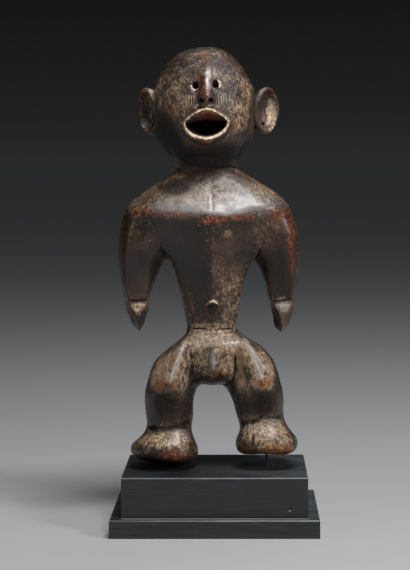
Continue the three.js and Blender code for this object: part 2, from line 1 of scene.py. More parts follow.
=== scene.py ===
# %% [markdown]
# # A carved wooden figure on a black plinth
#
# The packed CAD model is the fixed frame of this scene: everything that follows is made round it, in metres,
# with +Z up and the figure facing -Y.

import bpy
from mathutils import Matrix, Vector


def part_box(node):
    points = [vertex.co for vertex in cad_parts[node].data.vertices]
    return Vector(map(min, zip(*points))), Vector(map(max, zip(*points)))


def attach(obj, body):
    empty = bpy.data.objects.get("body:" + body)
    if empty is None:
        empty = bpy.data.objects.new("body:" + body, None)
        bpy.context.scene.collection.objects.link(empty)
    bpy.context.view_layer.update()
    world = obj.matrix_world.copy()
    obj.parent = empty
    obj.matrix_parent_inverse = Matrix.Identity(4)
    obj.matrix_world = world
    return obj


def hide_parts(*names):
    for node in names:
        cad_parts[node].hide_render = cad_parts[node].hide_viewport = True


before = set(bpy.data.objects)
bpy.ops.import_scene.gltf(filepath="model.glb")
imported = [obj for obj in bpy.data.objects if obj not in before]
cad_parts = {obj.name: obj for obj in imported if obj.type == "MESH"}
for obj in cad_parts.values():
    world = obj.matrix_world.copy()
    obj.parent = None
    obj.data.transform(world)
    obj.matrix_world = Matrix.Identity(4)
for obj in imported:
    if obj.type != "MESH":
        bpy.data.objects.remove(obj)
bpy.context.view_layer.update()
print("nodes:", sorted(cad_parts))

# %% [markdown]
# ## Tools
#
# bpy makes the objects and the materials, and numpy works on all points of a mesh at once. The scene counts
# in metres, but a carving is thought of in millimetres, so one name stands for a millimetre.

# %% Fetch the tools
import math

import bpy
import numpy as np
from mathutils import Matrix, Vector

MM = 0.001
scene = bpy.context.scene
print("a millimetre is", MM, "of the scene's units")

# %% [markdown]
# ## The camera
#
# The photograph was taken from a little over a metre away, slightly above the figure's chest and looking a
# few degrees down, with a long lens. A camera could be dragged into place by eye, but the plinth's edges tell
# its place and its turns, so these are set as numbers. They make a matrix, whose columns are the picture's
# right, its up and the way back to the camera.

# %% Place the camera
CAMERA_PLACE = Vector((20.4, -1138.0, 247.5)) * MM
CAMERA_YAW = math.radians(1.35)
CAMERA_PITCH = math.radians(4.33)
CAMERA_ROLL = math.radians(-0.33)
FOCAL_PIXELS = 1700
PICTURE_HEIGHT = 570
SENSOR = 36
SIGHT = 100


def camera_turn(yaw, pitch, roll):
    """The turn of a camera that looks along +Y, then yaws left, pitches down and rolls."""
    ahead = Vector((-math.sin(yaw) * math.cos(pitch), math.cos(yaw) * math.cos(pitch), -math.sin(pitch)))
    level = Vector((math.cos(yaw), math.sin(yaw), 0))
    upright = level.cross(ahead)
    right = level * math.cos(roll) + upright * math.sin(roll)
    up = upright * math.cos(roll) - level * math.sin(roll)
    return Matrix((right, up, -ahead)).transposed()


camera = bpy.data.objects.new("camera", bpy.data.cameras.new("camera"))
scene.collection.objects.link(camera)
scene.camera = camera
camera.data.sensor_width = SENSOR
camera.data.lens = FOCAL_PIXELS * SENSOR / PICTURE_HEIGHT
camera.data.clip_end = SIGHT
turn = camera_turn(CAMERA_YAW, CAMERA_PITCH, CAMERA_ROLL)
camera.matrix_world = Matrix.Translation(CAMERA_PLACE) @ turn.to_4x4()
print("lens:", round(camera.data.lens, 2), "mm")

# %% [markdown]
# ## Expressions for materials
#
# A material is a net of nodes, and a net is hard to read as a list of links. The small class below wraps a
# socket, so that sums and products of sockets can be written as Python: each operator adds one Math node.
# Colours don't go through Math nodes, which would turn them grey, but through Mix nodes.

# %% A socket that can be added and multiplied
class Value:
    """A number that changes over a surface: one output socket of a finish."""

    def __init__(self, finish, socket):
        self.finish = finish
        self.socket = socket

    def math(self, operation, *operands):
        """One Math node."""
        return self.finish.node("ShaderNodeMath", {"operation": operation}, dict(enumerate(operands)))

    def __add__(self, other):
        return self.math("ADD", self, other)

    def __radd__(self, other):
        return self.math("ADD", other, self)

    def __sub__(self, other):
        return self.math("SUBTRACT", self, other)

    def __rsub__(self, other):
        return self.math("SUBTRACT", other, self)

    def __mul__(self, other):
        return self.math("MULTIPLY", self, other)

    def __rmul__(self, other):
        return self.math("MULTIPLY", other, self)

    def __truediv__(self, other):
        return self.math("DIVIDE", self, other)

    def size(self):
        """The number without its sign."""
        return self.math("ABSOLUTE", self)

    def ramp(self, low, high):
        """0 below low, 1 above high, and smooth in between. A low that is above high turns it round."""
        settings = {"interpolation_type": "SMOOTHSTEP"}
        inputs = {"Value": self, "From Min": low, "From Max": high}
        if low > high:
            inputs = {"Value": self, "From Min": high, "From Max": low, "To Min": 1.0, "To Max": 0.0}
        return self.finish.node("ShaderNodeMapRange", settings, inputs)


print("besides its operators, a value has:", [name for name in vars(Value) if name[0] != "_"])

# %% [markdown]
# A finish is one material with its shader. Its methods add the few kinds of node that the wood, the paper and
# the steel need: soft noise, masks painted on the points, mixes of two colours, and bumps that make a relief
# without any geometry. Noise is read in Object coordinates, so it stays on the piece wherever that moves.

# %% The maker of a finish
def tone(code):
    """A colour written as on a screen, such as 3a2418, as the linear colour that a shader takes."""
    parts = [int(code[i : i + 2], 16) / 255 for i in (0, 2, 4)]
    linear = [p / 12.92 if p <= 0.04045 else ((p + 0.055) / 1.055) ** 2.4 for p in parts]
    return (*linear, 1.0)


class Finish:
    """A material whose nodes are added one call at a time."""

    def __init__(self, name):
        self.material = bpy.data.materials.new(name)
        self.material.use_nodes = True
        self.tree = self.material.node_tree
        self.shader = self.tree.nodes["Principled BSDF"]
        self.place = self.node("ShaderNodeTexCoord", output="Object")

    def node(self, kind, settings=None, inputs=None, output=0):
        """Any node: its kind, its settings, and the values or links of its sockets."""
        made = self.tree.nodes.new(kind)
        for key, value in (settings or {}).items():
            setattr(made, key, value)
        for key, value in (inputs or {}).items():
            if isinstance(value, Value):
                self.tree.links.new(value.socket, made.inputs[key])
            else:
                made.inputs[key].default_value = value
        return Value(self, made.outputs[output])

    def mixed(self, share, first, second):
        """Two colours mixed: all first at share 0 and all second at 1."""
        inputs = {0: share, 6: first, 7: second}
        return self.node("ShaderNodeMix", {"data_type": "RGBA"}, inputs, output=2)

    def stretched(self, sizes, shift=(0, 0, 0)):
        """Object coordinates counted in patches of the given sizes in millimetres."""
        scale = [1 / (MM * size) for size in sizes]
        return self.node("ShaderNodeMapping", None, {"Vector": self.place, "Location": shift, "Scale": scale})

    def cloud(self, sizes, detail=3.0, roughness=0.5, shift=(0, 0, 0)):
        """A soft noise from 0 to 1 with blotches of about the given sizes."""
        inputs = {"Vector": self.stretched(sizes, shift), "Scale": 1.0, "Detail": detail}
        inputs["Roughness"] = roughness
        return self.node("ShaderNodeTexNoise", None, inputs)

    def split(self, vector):
        """The three parts of a vector."""
        return [self.node("ShaderNodeSeparateXYZ", None, {"Vector": vector}, output=i) for i in range(3)]

    def painted(self, name):
        """The mask of that name, kept on the piece's own points."""
        return self.node("ShaderNodeAttribute", {"attribute_name": name}, output="Fac")

    def bump(self, height, depth, below=None):
        """A relief: height from 0 to 1 stands for depth millimetres. It lies on the relief below, if any."""
        inputs = {"Height": height, "Distance": depth * MM, "Strength": 1.0}
        if below:
            inputs["Normal"] = below
        return self.node("ShaderNodeBump", None, inputs)

    def set(self, **values):
        """The shader's own sockets, each a plain number or colour, or a value that changes."""
        for key, value in values.items():
            target = self.shader.inputs[key.replace("_", " ")]
            if isinstance(value, Value):
                self.tree.links.new(value.socket, target)
            else:
                target.default_value = value


def dressed(obj, finish):
    """Gives an object one finish all over."""
    obj.data.materials.clear()
    obj.data.materials.append(finish.material)


print("a screen's middle grey is", round(tone("808080")[0], 3), "in linear light")

# %% [markdown]
# ## The floor and the light
#
# The floor is a plain pale sheet that runs far back, so that its light fades with the distance as in a
# studio. A curved paper sweep would also do, but a flat sheet stays plain from every side.

# %% Lay the floor
FLOOR_REACH = 30.0
PAPER_GREY = "b2b4b6"


def flat_sheet(name, reach):
    """A square that runs as far as reach from the middle, on the ground."""
    mesh = bpy.data.meshes.new(name)
    corners = [(-reach, -reach, 0), (reach, -reach, 0), (reach, reach, 0), (-reach, reach, 0)]
    mesh.from_pydata(corners, [], [(0, 1, 2, 3)])
    sheet = bpy.data.objects.new(name, mesh)
    scene.collection.objects.link(sheet)
    return sheet


floor = flat_sheet("floor", FLOOR_REACH)
paper = Finish("pale_paper")
paper.set(Base_Color=tone(PAPER_GREY), Roughness=0.85)
dressed(floor, paper)
print("floor:", 2 * FLOOR_REACH, "m wide")

# %% [markdown]
# A soft box hangs over the figure, a little to the front and right: it makes the light planes of the chest,
# the hips and the feet. A second one stands further off at the right front and brings out the right ear, arm
# and foot. Two weak ones, behind and on the left, lift the dark wood just enough. Small bare lamps would cut
# hard shadows, so each is an area light: its place, the height on the middle line that it is aimed at, its
# width and height in metres, and its watts.

# %% Hang the lights
SOFT_BOXES = {
    "top_light": ((0.2, -0.5, 1.15), 0.2, (0.5, 0.2), 11.6),
    "back_light": ((0.15, 0.42, 1.2), 0.2, (0.5, 0.25), 1.0),
    "right_light": ((1.05, -0.84, 0.65), 0.15, (0.3, 0.35), 8.6),
    "left_light": ((-1.1, -0.9, 0.55), 0.15, (0.4, 0.4), 2.0),
}


def hang_soft_box(name, place, aim_height, size, watts):
    """A rectangular lamp that is turned to a point on the middle line and that the camera doesn't see."""
    light = bpy.data.lights.new(name, "AREA")
    light.shape = "RECTANGLE"
    light.size, light.size_y = size
    light.energy = watts
    lamp = bpy.data.objects.new(name, light)
    scene.collection.objects.link(lamp)
    lamp.location = place
    beam = Vector((0, 0, aim_height)) - Vector(place)
    lamp.rotation_euler = beam.to_track_quat("-Z", "Y").to_euler()
    lamp.visible_camera = False


for name, soft_box in SOFT_BOXES.items():
    hang_soft_box(name, *soft_box)
print("lights:", ", ".join(SOFT_BOXES))

# %% [markdown]
# The backdrop is the room itself: nearly black behind the figure and a little lighter towards the horizon,
# where it meets the far end of the floor without a line. A dim ceiling, higher than the camera sees, gives
# the soft light that reaches everywhere. World coordinates give the direction of each ray, and only its
# height is used.

# %% Darken the room
ROOM_GREYS = [(0.0, 0.0215), (0.02, 0.0155), (0.09, 0.0074), (0.25, 0.0074), (0.5, 0.052)]
COOLNESS = 0.01


def room(greys):
    """A world whose grey depends on the height of the view, from 0 at the horizon to 1 overhead."""
    world = bpy.data.worlds.new("studio")
    world.use_nodes = True
    tree = world.node_tree
    place = tree.nodes.new("ShaderNodeTexCoord")
    apart = tree.nodes.new("ShaderNodeSeparateXYZ")
    ramp = tree.nodes.new("ShaderNodeValToRGB")
    while len(ramp.color_ramp.elements) < len(greys):
        ramp.color_ramp.elements.new(1.0)
    for stop, (height, grey) in zip(ramp.color_ramp.elements, greys):
        stop.position = height
        stop.color = (grey, grey * (1 + COOLNESS), grey * (1 + 2 * COOLNESS), 1)
    tree.links.new(place.outputs["Generated"], apart.inputs[0])
    tree.links.new(apart.outputs["Z"], ramp.inputs["Fac"])
    tree.links.new(ramp.outputs["Color"], tree.nodes["Background"].inputs["Color"])
    return world


scene.world = room(ROOM_GREYS)
scene.view_settings.view_transform = "Standard"
print("room greys from the horizon up:", [grey for _, grey in ROOM_GREYS])

# %% [markdown]
# ## The figure's skin
#
# The CAD solid has the figure's forms in flat facets. A carver's surface is smoother along the limbs and
# sharper at the ridges, with the tool's marks over all of it. Subdivision would round the facets and the
# ridges alike, so a copy of the solid is remeshed into small even quads instead, and worked like clay in
# numpy: first smoothed, then carved.

# %% Copy and remesh the solid
VOXEL = 0.6
WELD_GAP = 1e-6


def merged_copy(node, name):
    """A copy of a CAD node, whose loose triangles are joined at their corners."""
    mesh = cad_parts[node].data.copy()
    copy = bpy.data.objects.new(name, mesh)
    scene.collection.objects.link(copy)
    weld = copy.modifiers.new("weld", "WELD")
    weld.merge_threshold = WELD_GAP
    return copy


def settled(obj):
    """Keeps the mesh as the object's modifiers leave it, and takes the modifiers off."""
    ready = bpy.data.meshes.new_from_object(obj.evaluated_get(bpy.context.evaluated_depsgraph_get()))
    obj.modifiers.clear()
    old = obj.data
    obj.data = ready
    bpy.data.meshes.remove(old)


figure = merged_copy("figure", "carved_figure")
remesh = figure.modifiers.new("remesh", "REMESH")
remesh.mode = "VOXEL"
remesh.voxel_size = VOXEL * MM
settled(figure)
print("skin:", len(figure.data.vertices), "points")

# %% [markdown]
# ## Tools to smooth and carve
#
# A sculptor's brush moves one spot at a time. Here each brush is a rule for all points at once: how far a
# point stands out of its surroundings, which way it faces, how much it gives way. The edges of the mesh tell
# which points are neighbours.

# %% The points and their neighbours
PULL_IN = 0.5


class Skin:
    """The points of a mesh in millimetres, with what is needed to smooth and carve them."""

    def __init__(self, mesh):
        self.mesh = mesh
        count = len(mesh.vertices)
        flat = np.empty(count * 3, np.float32)
        mesh.vertices.foreach_get("co", flat)
        self.points = flat.reshape(-1, 3).astype(float) / MM
        ends = np.empty(len(mesh.edges) * 2, np.int32)
        mesh.edges.foreach_get("vertices", ends)
        self.start, self.end = ends.reshape(-1, 2).T
        self.valence = np.bincount(ends, minlength=count).astype(float)

    def averaged(self, values):
        """For each point, the mean of its neighbours' values."""
        total = np.zeros(values.shape)
        columns = values.reshape(len(values), -1)
        sums = total.reshape(len(values), -1)
        for i in range(columns.shape[1]):
            sums[:, i] = np.bincount(self.start, columns[self.end, i], len(values))
            sums[:, i] += np.bincount(self.end, columns[self.start, i], len(values))
        return (sums / self.valence[:, None]).reshape(values.shape)

    def relax(self, share, rounds, back=0.52):
        """Smooths without shrinking: each round pulls the points in by their share and pushes them out."""
        for _ in range(rounds):
            for pull in (PULL_IN, -back):
                self.points += pull * share[:, None] * (self.averaged(self.points) - self.points)

    def normals(self):
        """Which way the surface faces at each point."""
        self.mesh.vertices.foreach_set("co", (self.points * MM).astype(np.float32).ravel())
        self.mesh.update()
        flat = np.empty(len(self.points) * 3, np.float32)
        self.mesh.vertex_normals.foreach_get("vector", flat)
        return flat.reshape(-1, 3).astype(float)

    def bulge(self, rounds):
        """How far each point stands out of the smooth surface, in millimetres. Hollows are below 0."""
        smooth = self.points
        for _ in range(rounds):
            smooth = self.averaged(smooth)
        return np.einsum("ij,ij->i", self.points - smooth, self.normals())


skin = Skin(figure.data)
print("skin:", len(skin.start), "edges")


# %% Soft steps and random swellings
def rise(values, low, high):
    """0 at low, 1 at high and smooth in between. It falls where low is above high."""
    share = np.clip((values - low) / (high - low), 0, 1)
    return share * share * (3 - 2 * share)


def read_grid(grid, cells):
    """A grid's values at places between its knots."""
    low = np.floor(cells).astype(int)
    share = cells - low
    total = 0
    for corner in np.ndindex(2, 2, 2):
        weight = np.prod(np.where(corner, share, 1 - share), axis=1)
        total = total + weight * grid[tuple((low + corner).T)]
    return total


def lumps(points, size, seed):
    """Soft random swellings from -1 to 1 that are about size millimetres across."""
    cells = (points - points.min(axis=0)) / size
    shape = np.ceil(cells.max(axis=0)).astype(int) + 2
    grid = np.random.default_rng(seed).uniform(-1, 1, shape)
    whole = np.floor(cells)
    return read_grid(grid, whole + rise(cells - whole, 0, 1))


print("a third of the way up, rise gives", round(float(rise(1 / 3, 0, 1)), 3))

# %% Averages over a wider neighbourhood
SKULL_FACET = 6
LIMB_FACET = 3
CELLS_IN_BELL = 2
MARGIN = 6


def bell_average(points, size):
    """For each point, the mean of all points round it, weighted by a bell of size millimetres."""
    cells = (points - points.min(axis=0)) / (size / CELLS_IN_BELL) + MARGIN
    shape = np.ceil(cells.max(axis=0)).astype(int) + MARGIN + 2
    knots = np.ravel_multi_index(np.round(cells).astype(int).T, shape)
    waves = [np.fft.fftfreq(n) for n in shape[:2]] + [np.fft.rfftfreq(shape[2])]
    pace = sum(w * w for w in np.meshgrid(*waves, indexing="ij", sparse=True))
    bell = np.exp(-2 * np.pi**2 * CELLS_IN_BELL**2 * pace)

    def spread(weights):
        grid = np.bincount(knots, weights, np.prod(shape)).reshape(shape)
        return read_grid(np.fft.irfftn(np.fft.rfftn(grid) * bell, tuple(shape)), cells)

    mass = spread(np.ones(len(points)))
    return np.stack([spread(axis) / mass for axis in points.T], axis=1)


def smoothed(points, size):
    """The points without any form smaller than size. The second average undoes the first one's shrinking."""
    first = bell_average(points, size)
    return 2 * first - bell_average(first, size)


print("facets up to", SKULL_FACET, "mm on the skull and", LIMB_FACET, "mm below it will be smoothed")

# %% [markdown]
# ## Smoothing
#
# Where the real figure is soft, its copy is soft too: the skull, the plane of the chest, the shins and the
# feet. Elsewhere every edge that stands out of the surface is left as crisp as the knife left it, and the
# finely carved places keep all their forms. One smoothing for the whole skin would be shorter, but it would
# melt the ridges or leave the facets. Each place is an oval body: its middle and its half sizes in
# millimetres.

# %% List the soft and the finely carved places
SOFT_PLACES = [
    ((-3, -6, 228), (52, 24, 13)),
    ((-34, -14, 51), (30, 36, 13)),
    ((34, -12, 57), (30, 34, 12)),
    ((-34, 8, 90), (30, 28, 17)),
    ((34, 8, 93), (30, 28, 17)),
    ((46, -24, 204), (8, 11, 7)),
    ((-56, -22, 204), (8, 11, 7)),
    ((0, -20, 122), (19, 16, 9)),
    ((-4, -36, 306), (12, 14, 8)),
    ((-38, -27, 200), (16, 9, 5)),
    ((30, -27, 200), (18, 9, 5)),
    ((40, -26, 203), (12, 9, 6)),
    ((-33, -25, 92), (16, 14, 5)),
    ((33, -25, 93), (16, 14, 5)),
    ((-16, -27, 96), (9, 12, 9)),
    ((17, -27, 97), (9, 12, 9)),
    ((-52, -12, 136), (12, 16, 7)),
    ((47, -12, 136), (12, 16, 7)),
]
DETAIL_PLACES = [
    ((-4, -40, 270), (23, 18, 19)),
    ((-4, -40, 290), (13, 16, 10)),
    ((-47, -5, 283), (16, 30, 24)),
    ((41, -5, 283), (16, 30, 24)),
    ((1, -34, 113), (8, 10, 13)),
    ((8, -30, 104), (5, 8, 5)),
    ((-52, -12, 148), (13, 22, 11)),
    ((47, -12, 148), (13, 22, 11)),
]
print("places:", len(SOFT_PLACES), "soft and", len(DETAIL_PLACES), "finely carved")

# %% Find the edges that stay sharp
SHARP_FROM, SHARP_TO = 0.12, 0.3


def inside(points, places):
    """1 inside any of the oval bodies, 0 well outside them all."""
    total = np.zeros(len(points))
    for middle, reach in places:
        away = np.linalg.norm((points - middle) / reach, axis=1)
        total = np.maximum(total, rise(away, 1.15, 0.85))
    return total


everywhere = np.ones(len(skin.points))
skin.relax(everywhere, 6)
sharp = rise(np.abs(skin.bulge(8)), SHARP_FROM, SHARP_TO) * (1 - inside(skin.points, SOFT_PLACES))
for _ in range(3):
    sharp = np.maximum(sharp, skin.averaged(sharp))
detail = inside(skin.points, DETAIL_PLACES)
print("share of the points: sharp", sharp.mean().round(3), "and finely carved", detail.mean().round(3))

# %% Smooth the facets and keep the ridges
NECK_LOW, NECK_HIGH = 237, 243
NOSE_BRIDGE = (-4, -40, 296), (6.5, 14, 11)
NOSE_TIP = (-4, -44, 284), (7, 9, 5)

skull = (1 - detail) * (1 - sharp) * rise(skin.points[:, 2], NECK_LOW, NECK_HIGH)
skin.points += skull[:, None] * (smoothed(skin.points, SKULL_FACET) - skin.points)
limbs = (1 - detail) * (1 - sharp) * rise(skin.points[:, 2], NECK_HIGH, NECK_LOW)
for _ in range(2):
    skin.points += limbs[:, None] * (smoothed(skin.points, LIMB_FACET) - skin.points)
skin.relax(everywhere, 8)
bridge = inside(skin.points, [NOSE_BRIDGE]) * (1 - inside(skin.points, [NOSE_TIP]))
skin.relax(bridge, 60, back=0.505)
print("smoothed to", np.ptp(skin.points, axis=0).round(1), "mm")

# %% [markdown]
# Smoothing has drawn the pointed ends of the hands in a little. They are lowered again, least at their upper
# end.

# %% Lower the tips of the hands
TIP_DROP = 2.6
TIP_TOP, TIP_FULL = 142, 136
HIP_TOP, HAND_END = 124, 128
ARM_INSIDE = 36

across, _, up = skin.points.T
tips = rise(up, TIP_TOP, TIP_FULL) * (np.abs(across) > ARM_INSIDE) * rise(up, HIP_TOP, HAND_END)
skin.points[:, 2] -= TIP_DROP * tips
print("lowered", int((tips > 0).sum()), "points")

# %% [markdown]
# ## What the knife and the years did
#
# The marks could be left to a bump in the material, but then the outline and the exported mesh would lack
# them, so they move the points themselves. Each mark is first a number on every point, 0 where the mark isn't.
# The cheeks come first: they carry rows of fine upright scars.

# %% Cut the scars of the cheeks
SCAR_ROWS = [(-18.6, -10.4), (2.5, 10.9)]
SCAR_PITCH = 1.62
SCAR_HEIGHT = 283.5
SCAR_BEND = 0.012
SCAR_DEPTH = 0.35
FACE_FRONT = -15

points = skin.points
x, y, z = points.T
scars = np.zeros(len(points))
along = np.abs(z - SCAR_HEIGHT - 0.6 * lumps(points, 2, 3))
for left, right in SCAR_ROWS:
    middle = (left + right) / 2
    half = (right - left) / 2
    row = rise(np.abs(x - middle), half + 0.8, half + 0.2)
    bend = SCAR_BEND * (x - middle) * (z - SCAR_HEIGHT)
    line = np.cos(2 * np.pi * (x - bend - left) / SCAR_PITCH)
    scars = np.maximum(scars, row * rise(line, -0.2, 0.9) * rise(along, 5.5, 3.8))
scars *= y < FACE_FRONT
print("scarred points:", int((scars > 0.5).sum()))

# %% [markdown]
# The right edge of the trunk has a row of small nicks. Their places follow the edge, which is found on the
# skin at each height. Drying has opened two short cracks, one at the left shoulder and one in the right foot.
# Creases part the feet from the shins and the right thigh from the hip, and a faint line runs up the middle
# of the chest. Each crease is a line on the front, from one end to the other, with its width and its depth.

# %% Cut the nicks, the cracks and the creases
NICK_HEIGHTS = np.linspace(138, 175, 16)
NICK_DEPTH = 1.5
NICK_BACK = 8
TRUNK_REACH = 26
SLICE = 0.5
CRACKS = [((-57.6, 0, 211), (-57.8, 0, 195)), ((25.4, 0, 63), (24.4, 0, 56))]
CRACK_DEPTH = 0.9
CREASES = [
    ((-42, 0, 66), (-33, 0, 66), 3.2, 1.3),
    ((-33, 0, 66), (-18, 0, 68.5), 3.2, 1.3),
    ((19, 0, 69.5), (31, 0, 74), 3.0, 1.2),
    ((31, 0, 74), (43, 0, 73.5), 2.2, 0.9),
    ((-1.2, 0, 234), (-0.6, 0, 213), 2.0, 0.2),
    ((20, 0, 126), (31, 0, 110), 1.6, 0.6),
]
BACK_START = -6
FAR_OFF = 9


def beside(points, start, end):
    """How far points are from a line, in millimetres, seen from the front. The back counts as far off."""
    start, end = np.array(start, float), np.array(end, float)
    run = end - start
    flat = points * (1, 0, 1)
    share = np.clip((flat - start) @ run / (run @ run), 0, 1)
    away = np.linalg.norm(flat - start - share[:, None] * run, axis=1)
    return away + FAR_OFF * (points[:, 1] > BACK_START)


nicks = np.zeros(len(points))
for height in NICK_HEIGHTS:
    trunk_edge = x[(np.abs(z - height) < SLICE) & (x < TRUNK_REACH)].max()
    nick = rise(np.hypot(x - trunk_edge, z - height), 1.6, 0.3) * (y < NICK_BACK)
    nicks = np.maximum(nicks, nick)
facing = -skin.normals()[:, 1]
unsteady = 0.5 * lumps(points, 2.5, 4)
cracks = np.zeros(len(points))
for start, end in CRACKS:
    crack = rise(beside(points, start, end) + unsteady, 1.3, 0.2) * rise(facing, 0.4, 0.7)
    cracks = np.maximum(cracks, crack)
creases = np.zeros(len(points))
for start, end, width, deep in CREASES:
    creases = np.maximum(creases, deep * rise(beside(points, start, end) + unsteady, width, 0.2))
print("cut:", len(NICK_HEIGHTS), "nicks,", len(CRACKS), "cracks and", len(CREASES), "creases")

# %% [markdown]
# All edges are rubbed unevenly, and most of all the ridge under the chest, which is worn into scallops. The
# knob between the hips stands a little further out than in the solid, and the whole surface rolls slightly,
# as it does under a knife. Then every point moves along its own normal by the sum of all this, and none
# leaves the solid's box.

# %% Rub the edges and carve
CHEST_RIDGE = (0, -32, 209), (48, 16, 8)
EDGE_BULGE = 0.25
RUB_DEPTH = 0.55
KNOB_MIDDLE = 1, 113
KNOB_REACH = 3.6, 11.5
KNOB_PROUD = 1.4
KNOB_BACK = -20

edges = np.clip(skin.bulge(6) / EDGE_BULGE, -1, 1)
rub = np.clip(edges, 0, 1) * rise(lumps(points, 3.4, 5) + lumps(points, 7, 6), -0.1, 0.9)
rub *= 1 + 1.4 * inside(points, [CHEST_RIDGE])
knob_away = np.hypot((x - KNOB_MIDDLE[0]) / KNOB_REACH[0], (z - KNOB_MIDDLE[1]) / KNOB_REACH[1])
knob = rise(knob_away, 1.05, 0.3) * (y < KNOB_BACK)
roll = 0.22 * lumps(points, 8, 7) + 0.12 * lumps(points, 3.5, 8) * (1 - detail)
depth = roll * (1 - 0.7 * detail) - SCAR_DEPTH * scars - NICK_DEPTH * nicks - CRACK_DEPTH * cracks
depth = depth - creases - RUB_DEPTH * rub + KNOB_PROUD * knob
points += depth[:, None] * skin.normals()
cad_low, cad_high = (np.array(corner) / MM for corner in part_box("figure"))
np.clip(points, cad_low, cad_high, out=points)
print("carved, depth from", depth.min().round(2), "to", depth.max().round(2), "mm")

# %% [markdown]
# ## The map of the patina
#
# Handling, soot and offerings have left each part of the figure with its own colour. A picture laid over the
# figure would tear at its sides and its back, so the colours are painted on the skin's own points, as masks
# of soft oval patches. Each patch is given by its middle, its half width and half height, and its strength.
# The finish breaks them up later. The first mask is ochre, where dust and offerings settled.

# %% Where ochre lies
OCHRE = [
    ((18, -28, 274), (8.5, 12), 0.56),
    ((-25, -24, 284), (13, 22), 0.22),
    ((17, -26, 293), (14, 18), 0.2),
    ((-4, -30, 306), (26, 11), 0.06),
    ((10, -30, 113), (9, 9), 0.85),
    ((22, -20, 291), (4.6, 10.5), 0.46),
    ((-35, -20, 290), (4.6, 12), 0.45),
    ((-4, -18, 313), (16, 6), 0.18),
    ((34, -16, 280), (4, 14), 0.56),
    ((-41, -4, 285), (4, 12), 0.8),
    ((32, -18, 225), (13, 9), 0.6),
    ((-9, -25, 222), (26, 9), 0.5),
    ((9, -27, 197), (3, 2.4), 1.0),
    ((12, -20, 171), (10, 32), 0.22),
    ((12, -15, 144), (8.6, 13), 0.3),
    ((-1, -17, 134), (17, 3.3), 0.65),
    ((1, -25, 127), (24, 7), 0.95),
    ((1, -28, 114), (19, 11), 0.85),
    ((-36, -20, 108), (13, 14), 0.85),
    ((-25, -29, 114), (4, 15), 0.9),
    ((-21, -25, 104), (4, 17), 0.65),
    ((27, -29, 114), (4, 13), 0.9),
    ((14, -28, 114), (9, 12), 0.95),
    ((-34, -27, 103), (12, 9), 0.7),
    ((35, -20, 112), (7, 14), 0.9),
    ((-33, -20, 61), (18, 7), 0.85),
    ((-33, -29, 97), (12, 6), 0.85),
    ((33, -29, 99), (9, 6), 0.9),
    ((15, -22, 104), (6, 12), 0.8),
    ((33, -20, 67), (18, 8), 1.0),
    ((42, -26, 57), (12, 6), 0.9),
    ((-51, -15, 149), (6, 4), 0.65),
    ((46, -15, 149), (5.3, 4.6), 1.0),
]
print("ochre patches:", len(OCHRE))

# %% [markdown]
# Rubbed edges and ends show the red wood itself: the ridge of the chest, the outsides of the arms, the knees,
# the rims of the feet and the ears.

# %% Where bare wood shows
RED = [
    ((-46, -25, 211), (9, 3.4), 0.84),
    ((-27, -31, 210), (15, 2.6), 0.7),
    ((0, -34, 206), (10, 3.2), 0.78),
    ((19, -32, 208), (9, 2.6), 0.78),
    ((42, -24, 210), (8, 5), 0.84),
    ((51, -20, 190), (2.8, 24), 0.86),
    ((-62, -10, 187), (2.7, 25), 0.55),
    ((-33, -29, 97), (9, 4), 1.0),
    ((33, -29, 99), (6, 3.6), 1.0),
    ((-28, -30, 50), (11, 5), 1.0),
    ((44, -25, 53), (13, 5.5), 0.9),
    ((20, -30, 54), (5, 3), 0.66),
    ((-4, -43, 287), (2.4, 5.5), 1.0),
    ((-8, -37, 294), (2.6, 8), 0.7),
    ((1, -33, 105), (2.8, 2.6), 1.0),
    ((-5, -22, 314), (3.3, 5), 0.65),
    ((-6, -36, 255), (2, 1.8), 0.9),
    ((8.6, -27, 196), (2, 1.4), 0.9),
    ((-58, -4, 146), (5, 9), 1.0),
    ((53, -4, 146), (5, 9), 1.0),
    ((-47, -6, 283), (3, 14), 0.8),
    ((33.2, -6, 276), (1.8, 12), 0.8),
    ((15, -28, 268), (8, 5.2), 0.45),
    ((-4, -33, 276), (11, 3.6), 1.0),
    ((-26, -24, 276), (9, 9), 0.45),
    ((38, -6, 288), (7, 4), 0.7),
    ((46, -6, 279), (2.6, 14), 0.75),
    ((40, -6, 263), (6, 3), 0.75),
    ((-45, -6, 290), (6, 4), 0.6),
]
print("red patches:", len(RED))

# %% [markdown]
# Painted shade and soot make the hollows nearly black: under the jaw, in the mouth, between the arms and the
# trunk and round the shins.

# %% Where shade and soot are painted
SHADE_AND_SOOT = [
    ((-4, -22, 247), (30, 11), 0.9),
    ((-25, -20, 263), (15, 15), 1.0),
    ((-32, -8, 256), (9, 16), 0.9),
    ((22, -10, 250), (10, 11), 0.9),
    ((-4, -15, 268), (16, 10), 1.0),
    ((-40, -8, 178), (5, 16), 0.6),
    ((32, -8, 178), (5, 16), 0.6),
    ((-24, -22, 227), (10, 6), 0.75),
    ((-53, -18, 178), (12, 22), 0.42),
    ((44, -18, 176), (10, 24), 0.45),
    ((-33, -24, 84), (10, 11), 0.7),
    ((33, -24, 84), (10, 11), 0.7),
    ((-17, -12, 84), (6, 18), 0.75),
    ((14, -12, 86), (5, 18), 0.75),
    ((-0.5, -29, 148.2), (3.4, 3.4), 0.9),
    ((20, -20, 231), (12, 4), 0.34),
    ((13, -24, 190), (15, 20), 0.36),
    ((-57, -10, 141), (6, 7), 0.55),
    ((-46, -10, 141), (4, 7), 0.55),
    ((41, -10, 141), (4, 8), 0.7),
    ((53, -10, 141), (5, 6), 0.45),
    ((-34, -18, 84), (24, 14), 0.4),
    ((33, -18, 86), (22, 14), 0.4),
]
print("dark patches:", len(SHADE_AND_SOOT))

